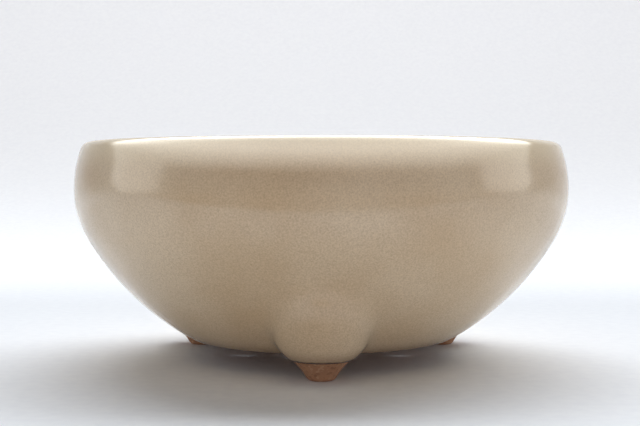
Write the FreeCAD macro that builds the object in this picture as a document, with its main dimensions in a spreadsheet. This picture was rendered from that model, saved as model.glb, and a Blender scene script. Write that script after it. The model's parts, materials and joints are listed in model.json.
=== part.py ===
import FreeCAD, Part
import math
import os
import Sketcher

# A small round bonsai pot on three bulb feet, in millimetres.
#
# The pot's axis is Z. The feet rest on z = 0 and the front foot points to -Y.
# A thrown stoneware bowl carries three hand-made feet, each cut to the curve of the bowl's
# outside and luted on. One glaze coat covers the outside and turns over the lip. It stops at a
# wax line low on the feet and the base, so the underside, the foot tips and the inside stay bare.
# A mesh screen lies over the drain hole and a bent wire clip holds it down.

SIZES = [
    # The bowl's wall is a chain of tangent arcs: base corner, wall, belly and shoulder.
    ("belly_radius", 64.6, "clay radius at the widest point"),
    ("belly_height", 44.5, "height of the widest point above the table"),
    ("rim_height", 56.4, "height of the clay lip above the table"),
    ("base_height", 4.6, "height of the clay underside above the table"),
    ("base_radius", 28.5, "radius of the flat underside"),
    ("corner_arc", 16.5, "radius of the arc that turns the base up into the wall"),
    ("wall_arc", 72.0, "radius of the long arc of the wall"),
    ("belly_arc", 25.6, "radius of the arc below the widest point"),
    ("shoulder_arc", 31.2, "radius of the arc above the widest point"),
    ("wall", 4.6, "thickness of the clay wall and floor"),
    ("drain_radius", 8.0, "radius of the drain hole"),
    ("hole_edge", 0.6, "rounding of the drain hole's edges"),
    ("wire_hole_radius", 1.75, "radius of a hole for the wire that anchors a tree"),
    ("wire_hole_circle", 21.0, "distance of those holes from the axis"),
    ("wire_hole_count", 4, "number of those holes"),
    # The glaze.
    ("glaze", 0.4, "thickness of the glaze coat"),
    ("wax_height", 4.8, "height of the glaze's lower edge above the table"),
    ("inside_glaze_height", 48.0, "height of the glaze's edge inside the mouth"),
    # The feet: a bulb that leans out with the wall, on a tapered tip.
    ("foot_reach", 39.5, "distance of a foot's tip from the axis"),
    ("foot_count", 3, "number of feet, evenly spaced"),
    ("neck_height", 4.5, "height above the table at which a bulb turns into its tip"),
    ("bulb_radius", 11.2, "half the width of a bulb"),
    ("bulb_rise", 10.5, "half the height of a bulb"),
    ("bulb_height", 13.2, "height of a bulb's middle above the table"),
    ("bulb_slant", 24.0, "outward lean of a bulb, in degrees from upright"),
    ("tip_rest_radius", 2.9, "radius of the flat that a tip stands on"),
    ("tip_edge", 0.8, "rounding between that flat and the tip's flank"),
    ("tip_flank_arc", 14.0, "radius of the hollow flank of a tip"),
    # The screen over the drain hole.
    ("screen_width", 25.0, "side of the square screen"),
    ("screen_thick", 1.2, "thickness of the screen"),
    ("screen_opening", 2.0, "side of one opening"),
    ("screen_pitch", 3.0, "distance from one opening to the next"),
    ("screen_openings", 7, "number of openings along each side"),
    # The clip.
    ("wire_radius", 0.5, "half the thickness of the clip's wire"),
    ("wire_bend", 1.2, "radius of a bend, at the middle of the wire"),
    ("clip_leg", 6.0, "distance of a leg from the axis"),
    ("clip_reach", 13.5, "distance of a leg's turned-out end from the axis"),
    ("clip_gap", 0.1, "clearance between a turned-out leg and the underside"),
]

VALUE = {alias: value for alias, value, note in SIZES}
FULL_TURN = 360.0
HALF_TURN = 180.0
RIGHT, UP, LEFT, DOWN = 0.0, 90.0, 180.0, -90.0  # directions on a sketch, in degrees
FRONT = -90.0            # direction of the front foot, in degrees from +X
HIGHEST_LATITUDE = 72.0  # a bulb's topmost section, which lies inside the bowl's wall
BULB_SECTIONS = 8
SAME_LENGTH = 1e-6       # lengths closer than this are the same, in millimetres
SAME_SHARE = 0.01        # volumes closer than this share are the same
ORIGIN = (-1, 1)         # a sketch's own origin, as geometry index and point
START, END, CENTRE = 1, 2, 3

doc = FreeCAD.newDocument("BonsaiPot")
sheet = doc.addObject("Spreadsheet::Sheet", "Sizes")
for row, (alias, value, note) in enumerate(SIZES, start=1):
    sheet.set(f"A{row}", alias)
    sheet.set(f"B{row}", str(value))
    sheet.set(f"C{row}", note)
    sheet.setAlias(f"B{row}", alias)
doc.recompute()


# ---------------------------------------------------------------- sketch helpers

def new_body(label):
    body = doc.addObject("PartDesign::Body", label)
    body.Label = label
    return body


def add_sketch(body, name, role, height=None):
    """A sketch on one of the body's own origin planes, raised by the expression height."""
    plane = next(item for item in body.Origin.OriginFeatures if item.Role == role)
    sketch = body.newObject("Sketcher::SketchObject", name)
    sketch.AttachmentSupport = [(plane, "")]
    sketch.MapMode = "FlatFace"
    if height:
        sketch.setExpression("AttachmentOffset.Base.z", height)
    return sketch


def add_line(sketch, start, end):
    ends = [FreeCAD.Vector(x, y, 0) for x, y in (start, end)]
    return sketch.addGeometry(Part.LineSegment(*ends), False)


def add_arc(sketch, centre, radius, first, last):
    """An arc drawn anticlockwise between two directions, in degrees."""
    circle = Part.Circle(FreeCAD.Vector(*centre, 0), FreeCAD.Vector(0, 0, 1), radius)
    return sketch.addGeometry(Part.ArcOfCircle(circle, math.radians(first), math.radians(last)), False)


def bind(sketch, constraint, expression):
    """Adds a constraint that has a size, and ties the size to the sheet."""
    index = sketch.addConstraint(constraint)
    sketch.setExpression(f"Constraints[{index}]", expression)


def bind_radius(sketch, geometry, expression):
    bind(sketch, Sketcher.Constraint("Radius", geometry, sketch.Geometry[geometry].Radius), expression)


def bind_across(sketch, left, right, expression):
    """Sets how far the point right lies to the right of the point left."""
    gap = sketch.getPoint(*right).x - sketch.getPoint(*left).x
    bind(sketch, Sketcher.Constraint("DistanceX", *left, *right, gap), expression)


def bind_up(sketch, point, expression):
    """Sets a point's height above the sketch's origin."""
    height = sketch.getPoint(*point).y
    bind(sketch, Sketcher.Constraint("DistanceY", *ORIGIN, *point, height), expression)


def join(sketch, kind, first, second):
    """Joins two points, Coincident or Tangent, or lines them up, Horizontal or Vertical."""
    sketch.addConstraint(Sketcher.Constraint(kind, *first, *second))


def link(sketch, first, second):
    """A straight line between two points that are already placed."""
    ends = [(point.x, point.y) for point in (sketch.getPoint(*first), sketch.getPoint(*second))]
    line = add_line(sketch, *ends)
    join(sketch, "Coincident", (line, START), first)
    join(sketch, "Coincident", (line, END), second)
    return line


def revolve(body, kind, name, sketch, axis="V_Axis"):
    feature = body.newObject("PartDesign::" + kind, name)
    feature.Profile = sketch
    feature.ReferenceAxis = (sketch, [axis])
    feature.Angle = FULL_TURN
    return feature


# ---------------------------------------------------------------- the bowl's outline

def wall_directions():
    """Centre of the wall arc, and its two ends in degrees below the horizontal.

    The wall arc touches the corner arc and the belly arc from outside, so its centre lies on
    a circle about the centre of each.
    """
    corner_x = VALUE["base_radius"]
    corner_y = VALUE["base_height"] + VALUE["corner_arc"]
    belly_x = VALUE["belly_radius"] - VALUE["belly_arc"]
    belly_y = VALUE["belly_height"]
    to_corner = VALUE["wall_arc"] - VALUE["corner_arc"]
    to_belly = VALUE["wall_arc"] - VALUE["belly_arc"]
    apart = math.hypot(belly_x - corner_x, belly_y - corner_y)
    along = (to_corner ** 2 - to_belly ** 2 + apart ** 2) / (2 * apart)
    aside = math.sqrt(to_corner ** 2 - along ** 2)
    step_x = (belly_x - corner_x) / apart
    step_y = (belly_y - corner_y) / apart
    centre = (corner_x + along * step_x - aside * step_y, corner_y + along * step_y + aside * step_x)
    low = math.degrees(math.atan2(centre[1] - corner_y, corner_x - centre[0]))
    high = math.degrees(math.atan2(centre[1] - belly_y, belly_x - centre[0]))
    return centre, low, high


def lip_direction():
    """Direction of the lip's centre from the shoulder arc's centre, in degrees."""
    rise = VALUE["rim_height"] - VALUE["wall"] / 2 - VALUE["belly_height"]
    return math.degrees(math.asin(rise / (VALUE["shoulder_arc"] - VALUE["wall"] / 2)))


def shoulder_arc(sketch, axis, inset, inset_text, start=None):
    """The arc above the widest point, moved in from the clay's outside by inset.

    It starts at the widest point, or at the height that start names.
    """
    axis_x = sketch.getPoint(*axis).x
    radius = VALUE["shoulder_arc"] - inset
    centre = (axis_x + VALUE["belly_radius"] - VALUE["shoulder_arc"], VALUE["belly_height"])
    first = math.degrees(math.asin((VALUE[start] - centre[1]) / radius)) if start else RIGHT
    arc = add_arc(sketch, centre, radius, first, lip_direction())
    bind_radius(sketch, arc, f"Sizes.shoulder_arc - {inset_text}")
    bind_across(sketch, axis, (arc, CENTRE), "Sizes.belly_radius - Sizes.shoulder_arc")
    bind_up(sketch, (arc, CENTRE), "Sizes.belly_height")
    if start:
        bind_up(sketch, (arc, START), f"Sizes.{start}")
    else:
        join(sketch, "Horizontal", (arc, CENTRE), (arc, START))
    return arc


def lower_arcs(sketch, axis, inset, inset_text):
    """The corner, wall and belly arcs, moved in from the clay's outside by inset."""
    axis_x = sketch.getPoint(*axis).x
    wall_centre, low, high = wall_directions()
    corner_centre = (axis_x + VALUE["base_radius"], VALUE["base_height"] + VALUE["corner_arc"])
    belly_centre = (axis_x + VALUE["belly_radius"] - VALUE["belly_arc"], VALUE["belly_height"])
    wall_centre = (axis_x + wall_centre[0], wall_centre[1])
    corner = add_arc(sketch, corner_centre, VALUE["corner_arc"] - inset, DOWN, -low)
    wall = add_arc(sketch, wall_centre, VALUE["wall_arc"] - inset, -low, -high)
    belly = add_arc(sketch, belly_centre, VALUE["belly_arc"] - inset, -high, RIGHT)
    bind_radius(sketch, corner, f"Sizes.corner_arc - {inset_text}")
    bind_radius(sketch, wall, f"Sizes.wall_arc - {inset_text}")
    bind_radius(sketch, belly, f"Sizes.belly_arc - {inset_text}")
    bind_across(sketch, axis, (corner, CENTRE), "Sizes.base_radius")
    bind_up(sketch, (corner, CENTRE), "Sizes.base_height + Sizes.corner_arc")
    bind_across(sketch, axis, (belly, CENTRE), "Sizes.belly_radius - Sizes.belly_arc")
    bind_up(sketch, (belly, CENTRE), "Sizes.belly_height")
    join(sketch, "Tangent", (corner, END), (wall, START))
    join(sketch, "Tangent", (wall, END), (belly, START))
    join(sketch, "Horizontal", (belly, CENTRE), (belly, END))
    join(sketch, "Vertical", (corner, CENTRE), (corner, START))
    return corner, belly


def lip_arc(sketch, outer, inner, radius):
    """The half round between two shoulder arcs."""
    middle = lip_direction()
    reach = VALUE["shoulder_arc"] - VALUE["wall"] / 2
    centre = sketch.getPoint(outer, CENTRE)
    lip_x = centre.x + reach * math.cos(math.radians(middle))
    lip_y = centre.y + reach * math.sin(math.radians(middle))
    lip = add_arc(sketch, (lip_x, lip_y), radius, middle, middle + HALF_TURN)
    join(sketch, "Tangent", (outer, END), (lip, START))
    join(sketch, "Tangent", (lip, END), (inner, END))
    bind_up(sketch, (lip, CENTRE), "Sizes.rim_height - Sizes.wall / 2")


# ---------------------------------------------------------------- bowl

def make_bowl():
    """The thrown bowl: one wall thickness all through, a round lip, a drain hole and wire holes."""
    body = new_body("bowl")
    sketch = add_sketch(body, "BowlProfile", "XZ_Plane")
    sides = []
    for inset, text in ((0, "0"), (VALUE["wall"], "Sizes.wall")):
        corner, belly = lower_arcs(sketch, ORIGIN, inset, text)
        shoulder = shoulder_arc(sketch, ORIGIN, inset, text)
        edge = sketch.getPoint(corner, START)
        flat = add_line(sketch, (VALUE["drain_radius"], edge.y), (edge.x, edge.y))
        join(sketch, "Coincident", (flat, END), (corner, START))
        sketch.addConstraint(Sketcher.Constraint("Horizontal", flat))
        bind_across(sketch, ORIGIN, (flat, START), "Sizes.drain_radius")
        sides.append((flat, shoulder))
    (underside, outer), (floor, inner) = sides
    lip_arc(sketch, outer, inner, VALUE["wall"] / 2)
    link(sketch, (underside, START), (floor, START))
    revolve(body, "Revolution", "Thrown", sketch)
    doc.recompute()

    whole = body.Shape.Volume
    holes = add_sketch(body, "WireHole", "XY_Plane")
    centre = FreeCAD.Vector(VALUE["wire_hole_circle"], 0, 0)
    hole = holes.addGeometry(Part.Circle(centre, FreeCAD.Vector(0, 0, 1), VALUE["wire_hole_radius"]), False)
    bind_radius(holes, hole, "Sizes.wire_hole_radius")
    bind_across(holes, ORIGIN, (hole, CENTRE), "Sizes.wire_hole_circle")
    join(holes, "Horizontal", ORIGIN, (hole, CENTRE))
    pocket = body.newObject("PartDesign::Pocket", "WireHolePocket")
    pocket.Profile = holes
    pocket.Reversed = True
    pocket.setExpression("Length", "Sizes.base_height + 2 * Sizes.wall")
    doc.recompute()
    pattern = body.newObject("PartDesign::PolarPattern", "WireHoles")
    pattern.Originals = [pocket]
    pattern.Axis = (holes, ["N_Axis"])
    pattern.Angle = FULL_TURN
    pattern.setExpression("Occurrences", "Sizes.wire_hole_count")
    body.Tip = pattern
    doc.recompute()

    one_hole = math.pi * VALUE["wire_hole_radius"] ** 2 * VALUE["wall"]
    holes_volume = one_hole * VALUE["wire_hole_count"]
    if abs(whole - body.Shape.Volume - holes_volume) > SAME_SHARE * holes_volume:
        raise RuntimeError("the wire holes do not go through the floor")

    rounding = body.newObject("PartDesign::Fillet", "DrainEdges")
    rounding.Base = (pattern, circles_of_radius(pattern.Shape, VALUE["drain_radius"]))
    rounding.setExpression("Radius", "Sizes.hole_edge")
    body.Tip = rounding
    return body


def circles_of_radius(shape, radius):
    """Names of the full circles of one radius in a shape."""
    names = []
    for number, edge in enumerate(shape.Edges, start=1):
        if isinstance(edge.Curve, Part.Circle) and abs(edge.Curve.Radius - radius) < SAME_LENGTH:
            names.append(f"Edge{number}")
    return names


# ---------------------------------------------------------------- feet

def bulb_bottom(skin, level):
    """Latitude at which a bulb, grown by skin, comes down to the height that level names."""
    drop = (VALUE[level] - VALUE["bulb_height"]) / (VALUE["bulb_rise"] + skin)
    return math.degrees(math.asin(drop))


def cut_to_bowl(body):
    """Takes the bowl's outer form away from a foot, so that the two meet face to face."""
    sketch = add_sketch(body, "BowlForm", "XZ_Plane")
    reach = VALUE["foot_reach"]
    ends = [FreeCAD.Vector(-reach, height, 0) for height in (0, VALUE["belly_height"])]
    axis = sketch.addGeometry(Part.LineSegment(*ends), True)
    sketch.addConstraint(Sketcher.Constraint("Vertical", axis))
    bind_across(sketch, (axis, START), ORIGIN, "Sizes.foot_reach")
    join(sketch, "Horizontal", ORIGIN, (axis, START))
    bind_up(sketch, (axis, END), "Sizes.belly_height")
    corner, belly = lower_arcs(sketch, (axis, START), 0, "0")
    centre_line = add_line(sketch, (-reach, VALUE["base_height"]), (-reach, VALUE["belly_height"]))
    join(sketch, "Coincident", (centre_line, END), (axis, END))
    sketch.addConstraint(Sketcher.Constraint("Vertical", centre_line))
    join(sketch, "Horizontal", (centre_line, START), (corner, START))
    link(sketch, (centre_line, START), (corner, START))
    link(sketch, (belly, END), (centre_line, END))
    before = body.Shape.Volume
    revolve(body, "Groove", "FitToBowl", sketch, "Axis0")
    doc.recompute()
    if not 0 < body.Shape.Volume < before:
        raise RuntimeError("the bowl's form does not cut the foot")


def add_tip(body):
    """The bare tip: a small flat, a rounded edge and a hollow flank up to the bulb."""
    sketch = add_sketch(body, "TipProfile", "XZ_Plane")
    top = VALUE["bulb_radius"] * math.cos(math.radians(bulb_bottom(0, "neck_height")))
    drop_text = "(Sizes.bulb_height - Sizes.neck_height) / Sizes.bulb_rise"
    top_text = f"Sizes.bulb_radius * sqrt(1 - ({drop_text}) ^ 2)"
    rest = VALUE["tip_rest_radius"]
    edge = VALUE["tip_edge"]
    height = VALUE["neck_height"]

    # The flank is an arc about a point outside the tip. It touches the edge's arc and ends at
    # the bulb, so the point is that far from the edge's centre and from the flank's top.
    flank = VALUE["tip_flank_arc"]
    run = top - rest
    rise = height - edge
    apart = math.hypot(run, rise)
    along = (apart ** 2 + (flank + edge) ** 2 - flank ** 2) / (2 * apart)
    aside = math.sqrt((flank + edge) ** 2 - along ** 2)
    flank_x = rest + (along * run + aside * rise) / apart
    flank_y = edge + (along * rise - aside * run) / apart
    turn = math.degrees(math.atan2(flank_y - edge, flank_x - rest))
    top_turn = math.degrees(math.atan2(height - flank_y, top - flank_x))

    base = add_line(sketch, (0, 0), (rest, 0))
    edge_arc = add_arc(sketch, (rest, edge), edge, DOWN, turn)
    flank_arc = add_arc(sketch, (flank_x, flank_y), flank, top_turn, turn + HALF_TURN)
    join(sketch, "Coincident", (base, START), ORIGIN)
    sketch.addConstraint(Sketcher.Constraint("Horizontal", base))
    join(sketch, "Tangent", (base, END), (edge_arc, START))
    join(sketch, "Tangent", (edge_arc, END), (flank_arc, END))
    bind_across(sketch, ORIGIN, (base, END), "Sizes.tip_rest_radius")
    bind_radius(sketch, edge_arc, "Sizes.tip_edge")
    bind_radius(sketch, flank_arc, "Sizes.tip_flank_arc")
    bind_across(sketch, ORIGIN, (flank_arc, START), top_text)
    bind_up(sketch, (flank_arc, START), "Sizes.neck_height")
    centre_line = add_line(sketch, (0, height), (0, 0))
    join(sketch, "Coincident", (centre_line, END), ORIGIN)
    sketch.addConstraint(Sketcher.Constraint("Vertical", centre_line))
    join(sketch, "Horizontal", (centre_line, START), (flank_arc, START))
    link(sketch, (flank_arc, START), (centre_line, START))
    revolve(body, "Revolution", "Tip", sketch)


def add_bulb(body, skin, skin_text, level, seam_inside=False):
    """A leaning bulb lofted through circles, grown on all sides by skin, from level upwards.

    The loft's seam runs up the side that faces away from the pot's axis, or up the other side.
    """
    bottom = bulb_bottom(skin, level)
    spacing = (HIGHEST_LATITUDE - bottom) / (BULB_SECTIONS - 1)
    bottom_text = f"asin((Sizes.{level} - Sizes.bulb_height) / (Sizes.bulb_rise + {skin_text}))"
    sections = []
    for number in range(BULB_SECTIONS):
        share = number / (BULB_SECTIONS - 1)
        latitude = math.radians(bottom + number * spacing)
        latitude_text = f"(({bottom_text}) * {1 - share} + {HIGHEST_LATITUDE * share} deg)"
        height = VALUE["bulb_height"] + (VALUE["bulb_rise"] + skin) * math.sin(latitude)
        height_text = f"(Sizes.bulb_height + (Sizes.bulb_rise + {skin_text}) * sin({latitude_text}))"
        lean = (height - VALUE["neck_height"]) * math.tan(math.radians(VALUE["bulb_slant"]))
        radius = (VALUE["bulb_radius"] + skin) * math.cos(latitude)
        sketch = add_sketch(body, f"BulbSection{number}", "XY_Plane", height_text)
        if seam_inside:
            about = FreeCAD.Rotation(FreeCAD.Vector(0, 0, 1), HALF_TURN)
            sketch.AttachmentOffset = FreeCAD.Placement(FreeCAD.Vector(0, 0, height), about)
            lean = -lean
        circle = Part.Circle(FreeCAD.Vector(lean, 0, 0), FreeCAD.Vector(0, 0, 1), radius)
        ring = sketch.addGeometry(circle, False)
        bind_radius(sketch, ring, f"(Sizes.bulb_radius + {skin_text}) * cos({latitude_text})")
        join(sketch, "Horizontal", ORIGIN, (ring, CENTRE))
        if number == 0 and level == "neck_height":
            join(sketch, "Vertical", ORIGIN, (ring, CENTRE))
        else:
            lean_text = f"({height_text} - Sizes.neck_height) * tan(Sizes.bulb_slant * 1 deg)"
            left, right = ORIGIN, (ring, CENTRE)
            if seam_inside:
                left, right = right, left
            bind_across(sketch, left, right, lean_text)
        sections.append(sketch)
    loft = body.newObject("PartDesign::AdditiveLoft", "Bulb")
    loft.Profile = sections[0]
    loft.Sections = sections[1:]
    loft.Ruled = False
    doc.recompute()


def place_foot(body, turn):
    """Stands a foot, modelled about its own tip, at its place round the pot."""
    direction = f"({FRONT + turn}) * 1 deg"
    body.setExpression("Placement.Base.x", f"Sizes.foot_reach * cos({direction})")
    body.setExpression("Placement.Base.y", f"Sizes.foot_reach * sin({direction})")
    body.Placement.Rotation = FreeCAD.Rotation(FreeCAD.Vector(0, 0, 1), FRONT + turn)
    doc.recompute()


def make_foot(label, turn):
    """One clay foot. Its own frame has +X pointing away from the pot's axis."""
    body = new_body(label)
    add_tip(body)
    add_bulb(body, 0, "0", "neck_height")
    cut_to_bowl(body)
    place_foot(body, turn)
    return body


# ---------------------------------------------------------------- glaze

def make_wall_glaze():
    """The coat on the wall: up from the wax line, over the lip and a little way down inside.

    It is drawn from the base's edge, and then all that lies below the wax line is taken away.
    """
    body = new_body("wall_glaze")
    sketch = add_sketch(body, "GlazeProfile", "XZ_Plane")
    skin = VALUE["glaze"]
    faces = []
    for grow, text in ((0, "0"), (skin, "Sizes.glaze")):
        corner, belly = lower_arcs(sketch, ORIGIN, -grow, f"(-1 * {text})")
        outer = shoulder_arc(sketch, ORIGIN, -grow, f"(-1 * {text})")
        inner_text = f"(Sizes.wall + {text})"
        inner = shoulder_arc(sketch, ORIGIN, VALUE["wall"] + grow, inner_text, "inside_glaze_height")
        lip_arc(sketch, outer, inner, VALUE["wall"] / 2 + grow)
        faces.append((corner, inner))
    (clay_corner, clay_inner), (glaze_corner, glaze_inner) = faces
    link(sketch, (clay_corner, START), (glaze_corner, START))
    link(sketch, (clay_inner, START), (glaze_inner, START))
    revolve(body, "Revolution", "WallGlaze", sketch)
    doc.recompute()

    whole = body.Shape.Volume
    bare = add_sketch(body, "BareBase", "XY_Plane")
    circle = Part.Circle(FreeCAD.Vector(0, 0, 0), FreeCAD.Vector(0, 0, 1), VALUE["belly_radius"])
    edge = bare.addGeometry(circle, False)
    join(bare, "Coincident", ORIGIN, (edge, CENTRE))
    bind_radius(bare, edge, "Sizes.belly_radius")
    pocket = body.newObject("PartDesign::Pocket", "WaxedBase")
    pocket.Profile = bare
    pocket.Reversed = True
    pocket.setExpression("Length", "Sizes.wax_height")
    body.Tip = pocket
    doc.recompute()
    if not 0 < body.Shape.Volume < whole:
        raise RuntimeError("the wax line does not cut the glaze")
    return body


def make_foot_glaze(turn):
    """The coat on one foot, still solid: the foot itself is taken out of it afterwards."""
    body = new_body(f"foot_glaze_{int(turn)}")
    add_bulb(body, VALUE["glaze"], "Sizes.glaze", "wax_height", seam_inside=True)
    cut_to_bowl(body)
    place_foot(body, turn)
    return body


def make_glaze(feet, turns):
    coat = doc.addObject("Part::MultiFuse", "CoatWhole")
    coat.Shapes = [make_wall_glaze()] + [make_foot_glaze(turn) for turn in turns]
    clay = doc.addObject("Part::MultiFuse", "ClayFeet")
    clay.Shapes = feet
    glaze = doc.addObject("Part::Cut", "glaze_coat")
    glaze.Label = "glaze_coat"
    glaze.Base = coat
    glaze.Tool = clay
    glaze.Placement = FreeCAD.Placement()
    return glaze


# ---------------------------------------------------------------- screen and clip

def make_screen():
    """A moulded square mesh that lies on the floor over the drain hole."""
    body = new_body("drain_screen")
    outline = add_sketch(body, "ScreenOutline", "XY_Plane")
    draw_square(outline, VALUE["screen_width"], "Sizes.screen_width", (0, 0))
    plate = body.newObject("PartDesign::Pad", "Plate")
    plate.Profile = outline
    plate.setExpression("Length", "Sizes.screen_thick")
    doc.recompute()

    first = -VALUE["screen_pitch"] * (VALUE["screen_openings"] - 1) / 2
    mesh = add_sketch(body, "FirstOpening", "XY_Plane")
    draw_square(mesh, VALUE["screen_opening"], "Sizes.screen_opening", (first, first))
    pocket = body.newObject("PartDesign::Pocket", "Opening")
    pocket.Profile = mesh
    pocket.Reversed = True
    pocket.setExpression("Length", "Sizes.screen_thick")
    doc.recompute()
    grid = body.newObject("PartDesign::MultiTransform", "Openings")
    grid.Originals = [pocket]
    rows = []
    for name, axis in (("Across", "H_Axis"), ("Along", "V_Axis")):
        line = body.newObject("PartDesign::LinearPattern", name)
        line.Direction = (mesh, [axis])
        line.setExpression("Length", "Sizes.screen_pitch * (Sizes.screen_openings - 1)")
        line.setExpression("Occurrences", "Sizes.screen_openings")
        rows.append(line)
    grid.Transformations = rows
    body.Tip = grid
    body.setExpression("Placement.Base.z", "Sizes.base_height + Sizes.wall")
    doc.recompute()

    openings = (VALUE["screen_openings"] * VALUE["screen_opening"]) ** 2
    expected = (VALUE["screen_width"] ** 2 - openings) * VALUE["screen_thick"]
    if abs(body.Shape.Volume - expected) > SAME_SHARE * expected:
        raise RuntimeError("the screen's openings are not all cut")
    return body


def draw_square(sketch, side, side_text, centre):
    """A square about a centre that lies on the sketch's diagonal."""
    half = side / 2
    corners = [(centre[0] + half * x, centre[1] + half * y) for x, y in ((-1, -1), (1, -1), (1, 1), (-1, 1))]
    lines = [add_line(sketch, corners[i], corners[(i + 1) % 4]) for i in range(4)]
    for number, line in enumerate(lines):
        join(sketch, "Coincident", (line, END), (lines[(number + 1) % 4], START))
        kind = "Vertical" if number % 2 else "Horizontal"
        sketch.addConstraint(Sketcher.Constraint(kind, line))
    bind_across(sketch, (lines[0], START), (lines[0], END), side_text)
    sketch.addConstraint(Sketcher.Constraint("Equal", lines[0], lines[1]))
    first_text = f"{side_text} / 2"
    if centre[0]:
        first_text = f"Sizes.screen_pitch * (Sizes.screen_openings - 1) / 2 + {side_text} / 2"
    bind_across(sketch, (lines[0], START), ORIGIN, first_text)
    low = -sketch.getPoint(lines[0], START).y
    bind(sketch, Sketcher.Constraint("DistanceY", lines[0], START, *ORIGIN, low), first_text)


def make_clip():
    """A wire staple: a bar over the screen, legs through the hole, ends turned out below."""
    body = new_body("screen_clip")
    leg = VALUE["clip_leg"]
    reach = VALUE["clip_reach"]
    bend = VALUE["wire_bend"]
    low = VALUE["base_height"] - VALUE["clip_gap"] - VALUE["wire_radius"]
    low_text = "Sizes.base_height - Sizes.clip_gap - Sizes.wire_radius"
    high = VALUE["base_height"] + VALUE["wall"] + VALUE["screen_thick"] + VALUE["wire_radius"]
    high_text = "Sizes.base_height + Sizes.wall + Sizes.screen_thick + Sizes.wire_radius"

    path = add_sketch(body, "ClipPath", "XZ_Plane")
    left_out = add_line(path, (-reach, low), (-leg - bend, low))
    left_low = add_arc(path, (-leg - bend, low + bend), bend, DOWN, RIGHT)
    left_leg = add_line(path, (-leg, low + bend), (-leg, high - bend))
    left_high = add_arc(path, (-leg + bend, high - bend), bend, UP, LEFT)
    bar = add_line(path, (-leg + bend, high), (leg - bend, high))
    right_high = add_arc(path, (leg - bend, high - bend), bend, RIGHT, UP)
    right_leg = add_line(path, (leg, high - bend), (leg, low + bend))
    right_low = add_arc(path, (leg + bend, low + bend), bend, LEFT, DOWN + FULL_TURN)
    right_out = add_line(path, (leg + bend, low), (reach, low))
    joints = [
        ((left_out, END), (left_low, START)),
        ((left_low, END), (left_leg, START)),
        ((left_leg, END), (left_high, END)),
        ((left_high, START), (bar, START)),
        ((bar, END), (right_high, END)),
        ((right_high, START), (right_leg, START)),
        ((right_leg, END), (right_low, START)),
        ((right_low, END), (right_out, START)),
    ]
    for first, second in joints:
        join(path, "Tangent", first, second)
    for line in (left_out, bar, right_out):
        path.addConstraint(Sketcher.Constraint("Horizontal", line))
    for line in (left_leg, right_leg):
        path.addConstraint(Sketcher.Constraint("Vertical", line))
    for arc in (left_low, left_high, right_high, right_low):
        bind_radius(path, arc, "Sizes.wire_bend")
    bind_across(path, (left_out, START), ORIGIN, "Sizes.clip_reach")
    bind_across(path, ORIGIN, (right_out, END), "Sizes.clip_reach")
    bind_across(path, (left_leg, START), ORIGIN, "Sizes.clip_leg")
    bind_across(path, ORIGIN, (right_leg, START), "Sizes.clip_leg")
    bind_up(path, (left_out, START), low_text)
    bind_up(path, (right_out, END), low_text)
    bind_up(path, (bar, START), high_text)

    section = add_sketch(body, "WireSection", "YZ_Plane", "-1 * Sizes.clip_reach")
    circle = Part.Circle(FreeCAD.Vector(0, low, 0), FreeCAD.Vector(0, 0, 1), VALUE["wire_radius"])
    wire = section.addGeometry(circle, False)
    bind_radius(section, wire, "Sizes.wire_radius")
    join(section, "Vertical", ORIGIN, (wire, CENTRE))
    bind_up(section, (wire, CENTRE), low_text)
    pipe = body.newObject("PartDesign::AdditivePipe", "Wire")
    pipe.Profile = section
    pipe.Spine = (path, [])
    return body


# ---------------------------------------------------------------- build, check and export

bowl = make_bowl()
step = FULL_TURN / VALUE["foot_count"]
turns = [step * number for number in range(VALUE["foot_count"])]
foot_names = ["foot_front", "foot_rear_right", "foot_rear_left"]
feet = [make_foot(name, turn) for name, turn in zip(foot_names, turns)]
parts = [bowl] + feet + [make_glaze(feet, turns), make_screen(), make_clip()]
doc.recompute()

for item in doc.Objects:
    if "Invalid" in item.State or "Error" in item.State:
        raise RuntimeError(f"{item.Name} did not build: {item.State}")
for sketch in doc.findObjects("Sketcher::SketchObject"):
    if sketch.solve() != 0 or not sketch.FullyConstrained:
        raise RuntimeError(f"sketch {sketch.Name} is not fully constrained")
for part in parts:
    if part.Shape.isNull() or not part.Shape.isValid():
        raise RuntimeError(f"{part.Label} has no valid shape")

os.makedirs("parts", exist_ok=True)
for part in parts:
    part.Shape.exportStep(f"parts/{part.Label}.step")
    box = part.Shape.optimalBoundingBox()
    print(f"{part.Label}: {len(part.Shape.Solids)} solid, {part.Shape.Volume:.1f} mm3, "
          f"z {box.ZMin:.2f} to {box.ZMax:.2f}, {box.XLength:.2f} by {box.YLength:.2f}")
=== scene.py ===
# %% [markdown]
# # A bonsai pot on three bulb feet
#
# This lesson dresses a small stoneware bonsai pot. The solid parts already exist as a fixed
# frame, in metres, with the feet standing on z = 0 and the front foot towards -Y. Here they get
# the shapes and surfaces that a potter's hands and a kiln give them.

# %% Load the frame
import json
import math

import bmesh
import bpy
import numpy as np
from mathutils import Matrix, Vector

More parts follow.
